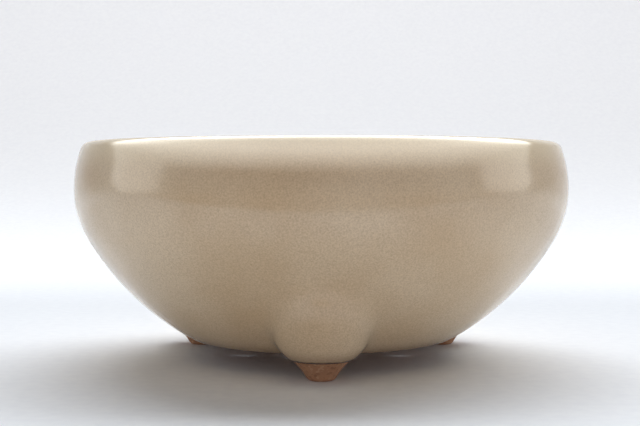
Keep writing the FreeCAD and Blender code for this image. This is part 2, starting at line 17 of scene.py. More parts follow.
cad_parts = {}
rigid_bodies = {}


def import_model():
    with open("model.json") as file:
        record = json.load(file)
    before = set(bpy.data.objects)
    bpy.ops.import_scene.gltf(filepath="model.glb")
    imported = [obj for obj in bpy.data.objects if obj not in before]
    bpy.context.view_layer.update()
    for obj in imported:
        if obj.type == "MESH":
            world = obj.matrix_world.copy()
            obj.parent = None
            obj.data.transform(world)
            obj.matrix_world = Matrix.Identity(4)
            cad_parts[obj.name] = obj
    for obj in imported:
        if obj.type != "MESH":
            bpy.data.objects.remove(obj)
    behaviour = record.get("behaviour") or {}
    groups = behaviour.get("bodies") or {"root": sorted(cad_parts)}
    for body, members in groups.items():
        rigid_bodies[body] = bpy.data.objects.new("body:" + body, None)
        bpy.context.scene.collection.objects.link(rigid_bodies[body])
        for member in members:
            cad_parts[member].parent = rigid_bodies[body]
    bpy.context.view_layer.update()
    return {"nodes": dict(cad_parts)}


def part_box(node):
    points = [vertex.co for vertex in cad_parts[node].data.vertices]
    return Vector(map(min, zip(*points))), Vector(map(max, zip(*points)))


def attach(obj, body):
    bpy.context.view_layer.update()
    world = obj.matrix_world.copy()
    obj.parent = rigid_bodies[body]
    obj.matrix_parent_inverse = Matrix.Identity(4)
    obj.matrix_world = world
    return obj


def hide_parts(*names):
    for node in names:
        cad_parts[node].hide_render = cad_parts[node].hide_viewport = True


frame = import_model()
scene = bpy.context.scene
print("pieces in the frame:", sorted(frame["nodes"]))

# %% [markdown]
# ## Measures
#
# A potter works from a few sizes: how wide, how high, how far the base is from the table, how
# thick the wall is. These are read off the frame, so that the looks always fit the solids. The
# radii of the wall's curves belong to the template, the rib that the bowl is thrown to.

# %% Sizes, in metres
MM = 0.001
bowl_low, bowl_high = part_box("bowl")
coat_low, coat_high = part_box("glaze_coat")
screen_low, screen_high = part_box("drain_screen")
clip_low, clip_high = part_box("screen_clip")

glaze_thick = coat_high.z - bowl_high.z
clay_radius = (coat_high.x - coat_low.x) / 2 - glaze_thick
base_z = bowl_low.z
rim_z = bowl_high.z
wax_z = coat_low.z
floor_z = screen_low.z
wall_thick = floor_z - base_z
belly_z = 44.5 * MM
base_radius = 28.5 * MM
corner_arc = 16.5 * MM
wall_arc = 72.0 * MM
belly_arc = 25.6 * MM
shoulder_arc = 31.2 * MM
drain_radius = 8.0 * MM
hole_edge = 0.6 * MM
inside_glaze_z = 48.0 * MM
print(f"glaze {glaze_thick / MM:.2f} mm, wall {wall_thick / MM:.2f} mm")
print(f"belly radius {clay_radius / MM:.1f} mm")

# %% [markdown]
# ## The outline of the wall
#
# A thrown bowl is a curve turned round the wheel's axis. This one runs through arcs that touch:
# a tight one lifts the flat base, a long one makes the wall, a fuller one the belly, and one
# leans back in to the mouth. The long arc's centre follows from the arcs on either side of it,
# just as a pair of compasses would find it.

# %% Arcs of the wall
corner_centre = Vector((base_radius, base_z + corner_arc))
belly_centre = Vector((clay_radius - belly_arc, belly_z))
shoulder_centre = Vector((clay_radius - shoulder_arc, belly_z))
span = belly_centre - corner_centre
corner_reach = wall_arc - corner_arc
belly_reach = wall_arc - belly_arc
along = (corner_reach ** 2 - belly_reach ** 2 + span.length_squared) / (2 * span.length)
aside = math.sqrt(corner_reach ** 2 - along ** 2)
across = Vector((-span.y, span.x)).normalized()
wall_centre = corner_centre + span.normalized() * along + across * aside
to_corner = corner_centre - wall_centre
to_belly = belly_centre - wall_centre
low_turn = math.degrees(math.atan2(to_corner.y, to_corner.x))
high_turn = math.degrees(math.atan2(to_belly.y, to_belly.x))
lip_radius = wall_thick / 2
lip_reach = shoulder_arc - lip_radius
lip_turn = math.degrees(math.asin((rim_z - lip_radius - belly_z) / lip_reach))
print(f"the wall arc lies {-high_turn:.1f} to {-low_turn:.1f} degrees below level")


# %% [markdown]
# The arcs become rows of points. The same function draws the clay's outside, the glaze's
# outside (the same arcs, grown by the coat's thickness) and the inside of the wall.

# %% Outline points
def sweep(centre, radius, first, last, count):
    """Points along an arc between two directions in degrees, as (distance from the axis, height)."""
    turns = [math.radians(first + (last - first) * step / (count - 1)) for step in range(count)]
    return [(centre[0] + radius * math.cos(turn), centre[1] + radius * math.sin(turn)) for turn in turns]


def straight(start, end, count):
    """Evenly spaced points from start up to, but without, end."""
    return [
        (start[0] + (end[0] - start[0]) * step / count, start[1] + (end[1] - start[1]) * step / count)
        for step in range(count)
    ]


def wall_side(grow):
    """One side of the wall from the base's edge up to the lip, grown outwards."""
    return (
        sweep(corner_centre, corner_arc + grow, -90, low_turn, 20)[:-1]
        + sweep(wall_centre, wall_arc + grow, low_turn, high_turn, 42)[:-1]
        + sweep(belly_centre, belly_arc + grow, high_turn, 0, 16)[:-1]
        + sweep(shoulder_centre, shoulder_arc + grow, 0, lip_turn, 14)
    )


def lip(grow):
    """The half round that turns the wall's outside over into its inside, without its ends."""
    turn = math.radians(lip_turn)
    centre = (shoulder_centre.x + lip_reach * math.cos(turn), shoulder_centre.y + lip_reach * math.sin(turn))
    return sweep(centre, lip_radius + grow, lip_turn, lip_turn + 180, 18)[1:-1]


def hand_down(points):
    """The same points from top to bottom."""
    return list(reversed(points))


# %% [markdown]
# ## One way to add a node
#
# Geometry and shader trees are both graphs of nodes. One helper makes a node, sets its switches
# and fills its inputs, either with a value or with another node's output. The others start and
# end a geometry tree and turn its result into a plain mesh.

# %% Node helpers
def add(tree, kind, inputs=None, **switches):
    made = tree.nodes.new(kind)
    for name, value in switches.items():
        setattr(made, name, value)
    for place, value in (inputs or {}).items():
        socket = made.inputs[place]
        if isinstance(value, bpy.types.NodeSocket):
            tree.links.new(value, socket)
        else:
            socket.default_value = value
    return made


def calc(tree, operation, *values):
    """A maths node's result."""
    return add(tree, "ShaderNodeMath", dict(enumerate(values)), operation=operation).outputs[0]


def new_tree(name, sizes):
    """A geometry tree with one named input for each size."""
    tree = bpy.data.node_groups.new(name, "GeometryNodeTree")
    tree.interface.new_socket("Geometry", in_out="INPUT", socket_type="NodeSocketGeometry")
    for label, kind in sizes.items():
        tree.interface.new_socket(label, in_out="INPUT", socket_type="NodeSocket" + kind)
    tree.interface.new_socket("Geometry", in_out="OUTPUT", socket_type="NodeSocketGeometry")
    return tree, tree.nodes.new("NodeGroupInput").outputs


def end_tree(tree, geometry, material):
    """Every tree ends the same way: instances made real, and the material set."""
    real = add(tree, "GeometryNodeRealizeInstances", {"Geometry": geometry}).outputs[0]
    done = add(tree, "GeometryNodeSetMaterial", {"Geometry": real, "Material": material}).outputs[0]
    tree.links.new(done, tree.nodes.new("NodeGroupOutput").inputs["Geometry"])


def plain_mesh(piece):
    """Turns what a piece's modifiers make into its own mesh."""
    graph = bpy.context.evaluated_depsgraph_get()
    mesh = bpy.data.meshes.new_from_object(
        piece.evaluated_get(graph), preserve_all_data_layers=True, depsgraph=graph
    )
    piece.modifiers.clear()
    piece.data = mesh
    mesh.name = piece.name
    return piece


def new_object(name, data):
    made = bpy.data.objects.new(name, data)
    scene.collection.objects.link(made)
    return made


def grow_mesh(name, tree, values):
    """Runs a tree with the given sizes and keeps the result as a plain mesh."""
    piece = new_object(name, bpy.data.meshes.new(name))
    modifier = piece.modifiers.new("Shape", "NODES")
    modifier.node_group = tree
    for item in tree.interface.items_tree:
        if item.in_out == "INPUT" and item.name in values:
            modifier[item.identifier] = values[item.name]
    return plain_mesh(piece)


def path_curve(name, points):
    """A curve of straight runs through points in space."""
    curve = bpy.data.curves.new(name, "CURVE")
    curve.dimensions = "3D"
    spline = curve.splines.new("POLY")
    spline.points.add(len(points) - 1)
    for point, spot in zip(spline.points, points):
        point.co = (*spot, 1)
    return new_object(name, curve)


def outline_curve(name, points):
    """A curve in the XZ plane from points given as distance from the axis and height."""
    return path_curve(name, [(reach, 0, height) for reach, height in points])


# %% [markdown]
# ## Colours
#
# Colours are written the way a fired test tile would be matched, as sRGB hex values. One
# function turns them into the linear light that the renderer mixes. All patterns below are
# measured in object coordinates, which are metres, so a scale of 1000 means cells of 1 mm.

# %% Material helpers
def colour(code):
    """A hex sRGB colour as linear red, green, blue and alpha."""
    channels = [int(code[place:place + 2], 16) / 255 for place in (1, 3, 5)]
    linear = [c / 12.92 if c <= 0.04045 else ((c + 0.055) / 1.055) ** 2.4 for c in channels]
    return (*linear, 1.0)


def new_material(name):
    material = bpy.data.materials.new(name)
    material.use_nodes = True
    tree = material.node_tree
    shader = tree.nodes["Principled BSDF"]
    place = add(tree, "ShaderNodeTexCoord").outputs["Object"]
    return material, tree, shader, place


def noise(tree, place, scale, detail=2.0, roughness=0.5):
    inputs = {"Vector": place, "Scale": scale, "Detail": detail, "Roughness": roughness}
    return add(tree, "ShaderNodeTexNoise", inputs).outputs["Fac"]


def spread(tree, value, low, high, to_low=0.0, to_high=1.0, ease="LINEAR"):
    """Maps a value from one range to another and holds it at the ends."""
    inputs = {0: value, 1: low, 2: high, 3: to_low, 4: to_high}
    return add(tree, "ShaderNodeMapRange", inputs, interpolation_type=ease).outputs[0]


def blend(tree, share, first, second):
    """A mix of two colours."""
    inputs = {0: share, 6: first, 7: second}
    return add(tree, "ShaderNodeMix", inputs, data_type="RGBA").outputs[2]


def relief(tree, shader, height, strength, depth):
    """Bump from a height between 0 and 1, with its depth in metres."""
    inputs = {"Height": height, "Strength": strength, "Distance": depth}
    bump = add(tree, "ShaderNodeBump", inputs)
    tree.links.new(bump.outputs[0], shader.inputs["Normal"])


# %% [markdown]
# ## Glazed stoneware
#
# The coat is a glossy cream glaze over a buff clay that holds some iron. Molten glass runs and
# gathers, so its tint drifts over a few centimetres. The iron bleeds up as a fine, dense brown
# fleck, a few tenths of a millimetre across. Low down the coat thins and browns, and this brown
# is also painted shade for the dark under the bowl. At the wax line it ends in a thin dark brown
# line. Towards the lip it is paler, partly where the glaze breaks thin at the rim and partly as
# painted light for the bright shoulder and lip. The glass has an index of 1.55, and its surface
# is smooth with a faint orange peel.

# %% Glaze material
GLAZE_DEEP = "#D6BE9B"
GLAZE_PALE = "#E2CFB1"


def glaze_material():
    material, tree, shader, place = new_material("glossy_cream_glaze")
    drift = noise(tree, place, 38.0, 3.0)
    tint = blend(tree, spread(tree, drift, 0.34, 0.66), colour(GLAZE_DEEP), colour(GLAZE_PALE))

    cells = add(tree, "ShaderNodeTexVoronoi", {"Vector": place, "Scale": 1500.0})
    chance = add(tree, "ShaderNodeSeparateColor", {0: cells.outputs["Color"]}).outputs[0]
    size = spread(tree, chance, 0.3, 1.0, 0.0, 0.34)
    fleck = spread(tree, calc(tree, "SUBTRACT", size, cells.outputs["Distance"]), 0.0, 0.2, 0.0, 0.2)
    flecked = blend(tree, fleck, tint, colour("#8A6A48"))
    dust = spread(tree, noise(tree, place, 2600.0, 2.0, 0.6), 0.35, 0.7, 0.0, 0.4)
    dusted = blend(tree, dust, flecked, colour("#9C8468"))

    height = add(tree, "ShaderNodeSeparateXYZ", {0: place}).outputs["Z"]
    # Paler towards the lip: partly the glaze breaking thin at the rim, partly painted light for the bright
    # shoulder and lip.
    lip_pale_and_lit = spread(tree, height, rim_z - 8 * MM, rim_z - 0.5 * MM, 0.0, 0.45, "SMOOTHSTEP")
    paled_and_lit = blend(tree, lip_pale_and_lit, dusted, colour("#F6E9C6"))
    # Browner over the last 4 mm above the wax line: partly thin glaze, partly painted shade for the dark
    # under the bowl.
    low_down = spread(tree, height, wax_z, wax_z + 4 * MM, 0.45, 0.0, "SMOOTHSTEP")
    browned_and_shaded = blend(tree, low_down, paled_and_lit, colour("#86664A"))
    # A thin dark brown line where the coat ends at the wax line.
    waver = spread(tree, noise(tree, place, 500.0), 0.3, 0.7, 0.5 * MM, 0.9 * MM)
    rise = calc(tree, "SUBTRACT", height, wax_z)
    edge = calc(tree, "SUBTRACT", 1.0, calc(tree, "DIVIDE", rise, waver))
    edged = blend(tree, spread(tree, edge, 0.0, 0.7, 0.0, 0.93, "SMOOTHSTEP"), browned_and_shaded, colour("#3E2413"))
    tree.links.new(edged, shader.inputs["Base Color"])

    tree.links.new(spread(tree, drift, 0.3, 0.7, 0.09, 0.16), shader.inputs["Roughness"])
    relief(tree, shader, noise(tree, place, 520.0, 2.0), 0.12, 0.08 * MM)
    shader.inputs["IOR"].default_value = 1.55
    return material


glaze = glaze_material()


# %% [markdown]
# ## Bare fired clay
#
# Inside, underneath and on the tips the clay stays bare: a pinkish buff stoneware with grog, the
# crushed fired clay that a potter kneads in so that the pot doesn't warp. It is matte and sandy
# to the touch, and flashes redder where the kiln's flame reached it.

# %% Clay material
def clay_material():
    material, tree, shader, place = new_material("bare_fired_stoneware")
    flash = noise(tree, place, 55.0, 4.0, 0.6)
    body = blend(tree, spread(tree, flash, 0.35, 0.68), colour("#A3785C"), colour("#BC9373"))
    grains = add(tree, "ShaderNodeTexVoronoi", {"Vector": place, "Scale": 1600.0})
    kind = add(tree, "ShaderNodeSeparateColor", {0: grains.outputs["Color"]})
    darker = blend(tree, spread(tree, kind.outputs[0], 0.82, 0.95, 0.0, 0.4), body, colour("#6B4630"))
    grogged = blend(tree, spread(tree, kind.outputs[1], 0.85, 0.97, 0.0, 0.3), darker, colour("#D8BC9C"))
    tree.links.new(grogged, shader.inputs["Base Color"])
    grit = noise(tree, place, 1900.0, 3.0, 0.6)
    tree.links.new(spread(tree, grit, 0.3, 0.7, 0.78, 0.92), shader.inputs["Roughness"])
    relief(tree, shader, grit, 0.6, 0.16 * MM)
    shader.inputs["IOR"].default_value = 1.45
    return material


clay = clay_material()


# %% [markdown]
# ## Plastic screen and wire
#
# A gardener lays a piece of moulded plastic mesh over the drain hole, so that the soil stays in
# and the water leaves, and pins it with a bent wire. The mesh is dark green polyethylene, soft
# and slightly waxy. The wire is the annealed aluminium that bonsai are shaped with, anodised
# copper brown, with faint draw marks along it.

# %% Plastic and wire materials
def plastic_material():
    material, tree, shader, place = new_material("moulded_green_polyethylene")
    cloud = noise(tree, place, 400.0, 3.0)
    tree.links.new(blend(tree, cloud, colour("#1F3A28"), colour("#2C4C35")), shader.inputs["Base Color"])
    tree.links.new(spread(tree, cloud, 0.3, 0.7, 0.42, 0.58), shader.inputs["Roughness"])
    relief(tree, shader, noise(tree, place, 3000.0), 0.3, 0.04 * MM)
    shader.inputs["IOR"].default_value = 1.51
    return material


def wire_material():
    material, tree, shader, place = new_material("anodised_aluminium_wire")
    cloud = noise(tree, place, 700.0, 3.0)
    tree.links.new(blend(tree, cloud, colour("#7A4E34"), colour("#946244")), shader.inputs["Base Color"])
    tree.links.new(spread(tree, cloud, 0.3, 0.7, 0.32, 0.46), shader.inputs["Roughness"])
    relief(tree, shader, noise(tree, place, 4000.0), 0.25, 0.02 * MM)
    shader.inputs["Metallic"].default_value = 1.0
    return material


plastic = plastic_material()
wire = wire_material()


# %% [markdown]
# ## The wheel as a node tree
#
# On the wheel one outline becomes a whole bowl, and that is what this tree does. A flat grid is
# bent round the axis: one direction is the turn of the wheel, the other picks the outline's
# points one after another. Hands are never quite steady, so a soft noise takes up to two tenths
# of a millimetre off the wall, the same for clay and coat. Inside, the fingers leave a shallow
# spiral as they rise.

# %% Wheel tree
def wheel_tree():
    tree, size = new_tree("wheel", {
        "Outline": "Object", "Outline Points": "Int", "Steps Round": "Int", "Wobble": "Float",
        "Spiral Height": "Float", "Spiral Pitch": "Float", "Spiral Start": "Float", "Material": "Material",
    })
    columns = calc(tree, "ADD", size["Steps Round"], 1.0)
    grid = add(tree, "GeometryNodeMeshGrid", {
        "Size X": 1.0, "Size Y": 1.0, "Vertices X": columns, "Vertices Y": size["Outline Points"],
    })
    spot = add(tree, "ShaderNodeSeparateXYZ", {0: grid.outputs["UV Map"]})
    kept = grid.outputs["Mesh"]
    for name, value in (("turn", spot.outputs["X"]), ("climb", spot.outputs["Y"])):
        kept = add(tree, "GeometryNodeStoreNamedAttribute", {
            "Geometry": kept, "Name": name, "Value": value,
        }, data_type="FLOAT", domain="POINT").outputs[0]
    turn, climb = (
        add(tree, "GeometryNodeInputNamedAttribute", {"Name": name}, data_type="FLOAT").outputs[0]
        for name in ("turn", "climb")
    )

    outline = add(tree, "GeometryNodeObjectInfo", {"Object": size["Outline"]})
    last = calc(tree, "SUBTRACT", size["Outline Points"], 1.0)
    index = calc(tree, "ROUND", calc(tree, "MULTIPLY", climb, last))
    sample = add(tree, "GeometryNodeSampleIndex", {
        "Geometry": outline.outputs["Geometry"],
        "Value": add(tree, "GeometryNodeInputPosition").outputs[0],
        "Index": index,
    }, data_type="FLOAT_VECTOR", domain="POINT")
    profile = add(tree, "ShaderNodeSeparateXYZ", {0: sample.outputs[0]})
    angle = calc(tree, "MULTIPLY", turn, math.tau)
    round_x = calc(tree, "MULTIPLY", profile.outputs["X"], calc(tree, "COSINE", angle))
    round_y = calc(tree, "MULTIPLY", profile.outputs["X"], calc(tree, "SINE", angle))
    bent = add(tree, "ShaderNodeCombineXYZ", {0: round_x, 1: round_y, 2: profile.outputs["Z"]})
    placed = add(tree, "GeometryNodeSetPosition", {"Geometry": kept, "Position": bent.outputs[0]})
    closed = add(tree, "GeometryNodeMergeByDistance", {"Geometry": placed.outputs[0], "Distance": 0.004 * MM})

    unsteady = add(tree, "ShaderNodeTexNoise", {"Scale": 20.0, "Detail": 1.0}).outputs[0]
    wobble = calc(tree, "MULTIPLY", spread(tree, unsteady, 0.2, 0.8, -1.0, 0.0), size["Wobble"])
    rings = calc(tree, "DIVIDE", index, size["Spiral Pitch"])
    wave = calc(tree, "SINE", calc(tree, "MULTIPLY", calc(tree, "ADD", rings, turn), math.tau))
    reached = calc(tree, "GREATER_THAN", index, size["Spiral Start"])
    ridge = calc(tree, "MULTIPLY", calc(tree, "MULTIPLY", wave, size["Spiral Height"]), reached)
    normal = add(tree, "GeometryNodeInputNormal").outputs[0]
    push = add(tree, "ShaderNodeVectorMath", {
        0: normal, "Scale": calc(tree, "ADD", wobble, ridge),
    }, operation="SCALE").outputs[0]
    thrown = add(tree, "GeometryNodeSetPosition", {"Geometry": closed.outputs[0], "Offset": push})
    smooth = add(tree, "GeometryNodeSetShadeSmooth", {"Geometry": thrown.outputs[0]})
    end_tree(tree, smooth.outputs[0], size["Material"])
    return tree


wheel = wheel_tree()
hand_wobble = 0.16 * MM
print("the wheel tree has", len(wheel.nodes), "nodes")


# %% [markdown]
# ## The shape of a foot
#
# Each foot is a ball of clay pressed on to the curve of the wall, leaning out with it, and drawn
# down to a short tapered tip. The potter works wet clay into the join with a finger, most of it
# over the top of the ball and some underneath, so the ball swells softly out of the bowl.
#
# The rule for this soft join is a smooth minimum. Give every point in space its distance to the
# bowl and its distance to the foot. The joined surface lies where the smaller of the two is
# zero, but where the two are nearly alike, a little is taken off, and that fills the corner.

# %% Distances to the bowl and to the feet
foot_reach = 39.5 * MM
neck_z = 4.5 * MM
bulb_z = 13.2 * MM
bulb_radius = 11.2 * MM
bulb_rise = 10.5 * MM
bulb_slant = math.tan(math.radians(24))
rest_radius = 2.9 * MM
neck_radius = bulb_radius * math.sqrt(1 - ((neck_z - bulb_z) / bulb_rise) ** 2)
tip_edge = 0.9 * MM
tip_worn = 0.6 * MM
tip_swell = 0.35 * MM
tip_hollow = 0.25 * MM
flank_curve = 0.14
foot_turns = {"foot_front": -90, "foot_rear_right": 30, "foot_rear_left": 150}


def tip_radius(height):
    """A tip's radius: a rounded edge at the table, then a slightly hollow flank up to the neck."""
    share = np.clip(height / neck_z, 0.0, 1.0)
    flank = rest_radius + (neck_radius - rest_radius) * ((1 - flank_curve) * share + flank_curve * share ** 2)
    lift = np.clip(1 - height / tip_edge, 0.0, 1.0)
    worn = tip_worn * (1 - np.sqrt(1 - lift ** 2 * 0.999))
    return flank - tip_hollow * np.sin(np.pi * share) + tip_swell - worn


def bowl_distance(spots):
    """Distance outside the bowl's outer surface, for points near the base and the wall."""
    reach = np.hypot(spots[:, 0], spots[:, 1])
    height = spots[:, 2]
    flat = base_z - height
    corner = np.hypot(reach - corner_centre.x, height - corner_centre.y) - corner_arc
    wall = np.hypot(reach - wall_centre.x, height - wall_centre.y) - wall_arc
    turn = np.degrees(np.arctan2(height - wall_centre.y, reach - wall_centre.x))
    return np.where(reach < base_radius, flat, np.where(turn < low_turn, corner, wall))


def foot_distance(spots):
    """Roughly the distance outside the nearest foot. One rule serves all three, turned round."""
    third = math.tau / 3
    bearing = np.arctan2(spots[:, 1], spots[:, 0]) + math.pi / 2
    bearing = (bearing + third / 2) % third - third / 2
    reach = np.hypot(spots[:, 0], spots[:, 1])
    outward, sideways = reach * np.cos(bearing), reach * np.sin(bearing)
    height = spots[:, 2]
    lean = np.maximum(height - neck_z, 0) * bulb_slant
    from_middle = np.hypot(outward - foot_reach - lean, sideways)
    ball = (np.hypot(from_middle / bulb_radius, (height - bulb_z) / bulb_rise) - 1) * bulb_rise
    tip = np.maximum(from_middle - tip_radius(height), -height)
    return np.where(height < neck_z, tip, ball)


def joined_distance(spots):
    """The smooth minimum of the two, with more clay worked in over the top of the bulb."""
    first, second = bowl_distance(spots), foot_distance(spots)
    width = np.interp(spots[:, 2], [5 * MM, 11 * MM, 19 * MM], [3.2 * MM, 2.2 * MM, 4.4 * MM])
    near = np.maximum(width - np.abs(first - second), 0) / width
    return np.minimum(first, second) - near ** 2 * width / 4


# %% [markdown]
# A mesh is drawn on to this surface by walking: each vertex steps down the slope of the distance
# until it reaches the right one, as a ball of wax would settle on a mould.

# %% Settle a mesh on the joined surface
def slope(field, spots, step=0.02 * MM):
    """The direction in which a distance grows, by small differences."""
    columns = []
    for axis in range(3):
        move = np.zeros(3)
        move[axis] = step
        columns.append((field(spots + move) - field(spots - move)) / (2 * step))
    return np.stack(columns, axis=1)


def settle(spots, wanted, rounds=14, longest=1.2 * MM):
    """Moves points to where the joined distance has the wanted value."""
    spots = spots.copy()
    for _ in range(rounds):
        rise = slope(joined_distance, spots)
        steep = np.maximum((rise ** 2).sum(axis=1), 0.05)
        step = -(joined_distance(spots) - wanted(spots)) / steep
        length = np.abs(step) * np.sqrt(steep)
        step *= np.minimum(1.0, longest / np.maximum(length, 1e-9))
        spots += step[:, None] * rise
    return spots


def vertex_spots(mesh):
    spots = np.empty(len(mesh.vertices) * 3)
    mesh.vertices.foreach_get("co", spots)
    return spots.reshape(-1, 3)


# %% [markdown]
# ## The glaze coat
#
# Before dipping, the potter brushes hot wax on the underside and the tips, and the glaze rolls
# off it. Everything above that level line is covered: wall, bulbs, lip and a finger's breadth
# inside the mouth. So the coat is the joined surface grown by the glaze's thickness, which runs
# out to almost nothing at its two edges, cut level at the wax line and given a back.

# %% Coat
def coat_thickness(spots):
    """The glaze's thickness: whole on the wall, rounded off over the last half millimetre."""
    share = np.clip((spots[:, 2] - wax_z) / (0.5 * MM), 0.0, 1.0)
    return glaze_thick * np.maximum(np.sqrt(1 - (1 - share) ** 2), 0.3)


def cut_level(piece, height):
    """Takes away everything below a height."""
    built = bmesh.new()
    built.from_mesh(piece.data)
    everything = built.verts[:] + built.edges[:] + built.faces[:]
    bmesh.ops.bisect_plane(
        built, geom=everything, plane_co=(0, 0, height), plane_no=(0, 0, 1), clear_inner=True, dist=1e-7
    )
    built.to_mesh(piece.data)
    built.free()


inner_arc = shoulder_arc - wall_thick
inner_turn = math.degrees(math.asin((inside_glaze_z - belly_z) / (inner_arc - glaze_thick)))
run_out = []
for beyond, share in ((1.2, 0.95), (0.6, 0.8), (0.0, 0.4)):
    turn = math.radians(inner_turn + beyond)
    reach = inner_arc - glaze_thick * share
    run_out.append((shoulder_centre.x + reach * math.cos(turn), shoulder_centre.y + reach * math.sin(turn)))
coat_outline = (
    straight((base_radius * 0.8, base_z - glaze_thick), (base_radius, base_z - glaze_thick), 8)
    + wall_side(glaze_thick)
    + lip(glaze_thick)
    + sweep(shoulder_centre, inner_arc - glaze_thick, lip_turn, inner_turn + 2, 9)
    + run_out
)
coat_curve = outline_curve("coat_outline", coat_outline)
coat = grow_mesh("glossy_glaze", wheel, {
    "Outline": coat_curve, "Outline Points": len(coat_outline), "Steps Round": 330,
    "Wobble": hand_wobble, "Spiral Pitch": 1.0, "Material": glaze,
})
spots = vertex_spots(coat.data)
below_belly = spots[:, 2] < 27 * MM
near_foot = below_belly & (foot_distance(spots) < 6 * MM)
low_down = below_belly & (np.hypot(spots[:, 0], spots[:, 1]) > base_radius * 0.9)
moved = near_foot | (low_down & (spots[:, 2] < wax_z + 1 * MM))
spots[moved] = settle(spots[moved], coat_thickness)
coat.data.vertices.foreach_set("co", spots.ravel())
cut_level(coat, wax_z)
backing = coat.modifiers.new("Thickness", "SOLIDIFY")
backing.thickness = glaze_thick
backing.offset = -1
plain_mesh(coat)
print("glaze coat:", len(coat.data.polygons), "faces")

# %% [markdown]
# ## The thrown bowl
#
# Under the coat is the clay itself: a closed outline that goes out along the base, up the wall,
# over the lip, down the inside with its finger spiral, and back along the floor to the drain
# hole. The drain hole's edges are sponged round.

# %% Bowl
drain_mouth = drain_radius + hole_edge
inside = hand_down(
    sweep(corner_centre, corner_arc - wall_thick, -90, low_turn, 14)[:-1]
    + sweep(wall_centre, wall_arc - wall_thick, low_turn, high_turn, 34)[:-1]
    + sweep(belly_centre, belly_arc - wall_thick, high_turn, 0, 14)[:-1]
    + sweep(shoulder_centre, shoulder_arc - wall_thick, 0, lip_turn, 14)
)
outside = (
    sweep((drain_mouth, base_z + hole_edge), hole_edge, 180, 270, 6)[:-1]
    + straight((drain_mouth, base_z), (base_radius, base_z), 14)
    + wall_side(0)
    + lip(0)
)
floor_run = straight((base_radius, floor_z), (drain_mouth, floor_z), 24)[1:]
hole_top = sweep((drain_mouth, floor_z - hole_edge), hole_edge, 90, 180, 6)
bowl_outline = outside + inside + floor_run + hole_top
bowl_outline.append(bowl_outline[0])
bowl_curve = outline_curve("bowl_outline", bowl_outline)
bowl = grow_mesh("thrown_bowl", wheel, {
    "Outline": bowl_curve, "Outline Points": len(bowl_outline), "Steps Round": 288,
    "Wobble": hand_wobble, "Spiral Height": 0.14 * MM, "Spiral Pitch": 5.6,
    "Spiral Start": float(len(outside) + 6), "Material": clay,
})
print("bowl:", len(bowl_outline), "points in its outline,", len(bowl.data.polygons), "faces")


# %% [markdown]
# Four small holes take the wire that ties a tree into the pot. They are pierced through the
# leather-hard floor with a hole cutter, and its edges are wiped, so the tool that cuts them here
# is a round bar that widens a little at both surfaces.

# %% Wire holes
wire_hole_radius = 1.75 * MM
wire_hole_circle = 21.0 * MM
wire_hole_count = 4


def ring_stack(name, rings, around, material):
    """A closed mesh from rings, each a middle, a height and one radius for each direction."""
    built = bmesh.new()
    rows = []
    for middle, height, radii in rings:
        row = []
        for step in range(around):
            angle = math.tau * step / around
            radius = radii[step] if hasattr(radii, "__len__") else radii
            row.append(built.verts.new((middle + radius * math.cos(angle), radius * math.sin(angle), height)))
        rows.append(row)
    for lower, upper in zip(rows, rows[1:]):
        for step in range(around):
            after = (step + 1) % around
            built.faces.new((lower[step], lower[after], upper[after], upper[step]))
    for row in (rows[0], rows[-1]):
        middle = built.verts.new(sum((vertex.co for vertex in row), Vector()) / around)
        for step in range(around):
            built.faces.new((row[step], row[(step + 1) % around], middle))
    bmesh.ops.recalc_face_normals(built, faces=built.faces[:])
    for face in built.faces:
        face.smooth = True
    mesh = bpy.data.meshes.new(name)
    built.to_mesh(mesh)
    built.free()
    mesh.materials.append(material)
    return mesh


rounding = 0.5 * MM
below = []
for step in range(5, -1, -1):
    turn = math.radians(90 * step / 5)
    radius = wire_hole_radius + rounding - rounding * math.cos(turn)
    below.append((0, base_z + rounding - rounding * math.sin(turn), radius))
above = [(0, floor_z + base_z - height, radius) for middle, height, radius in reversed(below)]
clear = 1 * MM
flare = wire_hole_radius + rounding
bar = [(0, base_z - clear, flare)] + below + above + [(0, floor_z + clear, flare)]
for hole in range(wire_hole_count):
    cutter = new_object("hole_cutter", ring_stack("hole_cutter", bar, 32, clay))
    turn = math.tau * hole / wire_hole_count
    cutter.data.transform(Matrix.Translation((
        wire_hole_circle * math.cos(turn), wire_hole_circle * math.sin(turn), 0
    )))
    pierce = bowl.modifiers.new("Pierce", "BOOLEAN")
    pierce.object = cutter
    pierce.solver = "EXACT"
plain_mesh(bowl)
for cutter in [item for item in bpy.data.objects if item.name.startswith("hole_cutter")]:
    bpy.data.objects.remove(cutter)
for curve in (coat_curve, bowl_curve):
    bpy.data.objects.remove(curve)
print("bowl with its wire holes:", len(bowl.data.polygons), "faces")

# %% [markdown]
# ## The feet
#
# Below the wax line the feet are bare: a tip that stands flat on the table, drawn in slightly on
# its flank, and the smear of luting clay that spreads under the base. Each foot is one closed
# piece. Its rings look outwards from the foot's own middle for the joined surface, and above the
# line they follow the ball, hidden under the coat. The back of the ball is pressed against the wall.

